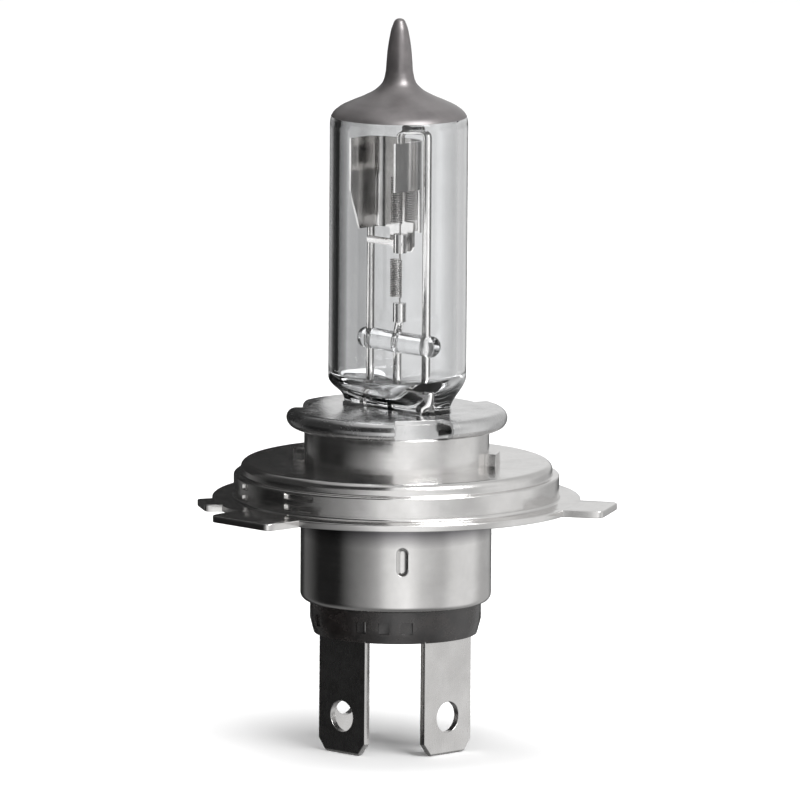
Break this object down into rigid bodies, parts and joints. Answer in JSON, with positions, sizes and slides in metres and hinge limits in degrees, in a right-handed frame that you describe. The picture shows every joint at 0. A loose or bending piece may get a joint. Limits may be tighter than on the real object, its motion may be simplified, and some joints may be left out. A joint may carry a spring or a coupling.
{
  "type": "headlight bulb",
  "caption": "Twin-filament halogen headlight bulb with a quartz tube, a lugged focusing ring and blade contacts.",
  "frame": {"origin": "on the bulb's axis, in the plane of the lugs' front faces, which is the bulb's reference plane", "axes": "+Z along the bulb's axis towards the glass tip; -Y towards the reference lug and the low beam blade; +X towards the high beam blade"},
  "size_m": [0.0482, 0.0473, 0.0857],
  "materials": {
    "quartz_glass": "clear",
    "top_coating": "satin",
    "tungsten": "matt",
    "molybdenum": "satin",
    "plated_lead": "satin",
    "stainless_steel": "bright rolled",
    "nickel_plated_steel": "bright",
    "dark_insulator": "matt moulded",
    "tinned_blade": "satin"
  },
  "bodies": {
    "root": {"glass_envelope": "quartz_glass", "quartz_bridge": "quartz_glass", "low_beam_filament": "tungsten", "high_beam_filament": "tungsten", "glare_shield": "molybdenum", "common_lead": "molybdenum", "low_beam_lead": "molybdenum", "high_beam_lead": "molybdenum", "common_arm": "molybdenum", "crimp_sleeves": "molybdenum", "common_foil": "molybdenum", "low_beam_foil": "molybdenum", "high_beam_foil": "molybdenum", "common_outer_lead": "plated_lead", "low_beam_outer_lead": "plated_lead", "high_beam_outer_lead": "plated_lead", "pinch_holder": "stainless_steel", "base_shell": "nickel_plated_steel", "focusing_ring": "nickel_plated_steel", "insulator": "dark_insulator", "common_blade": "tinned_blade", "low_beam_blade": "tinned_blade", "high_beam_blade": "tinned_blade"}
  },
  "joints": []
}
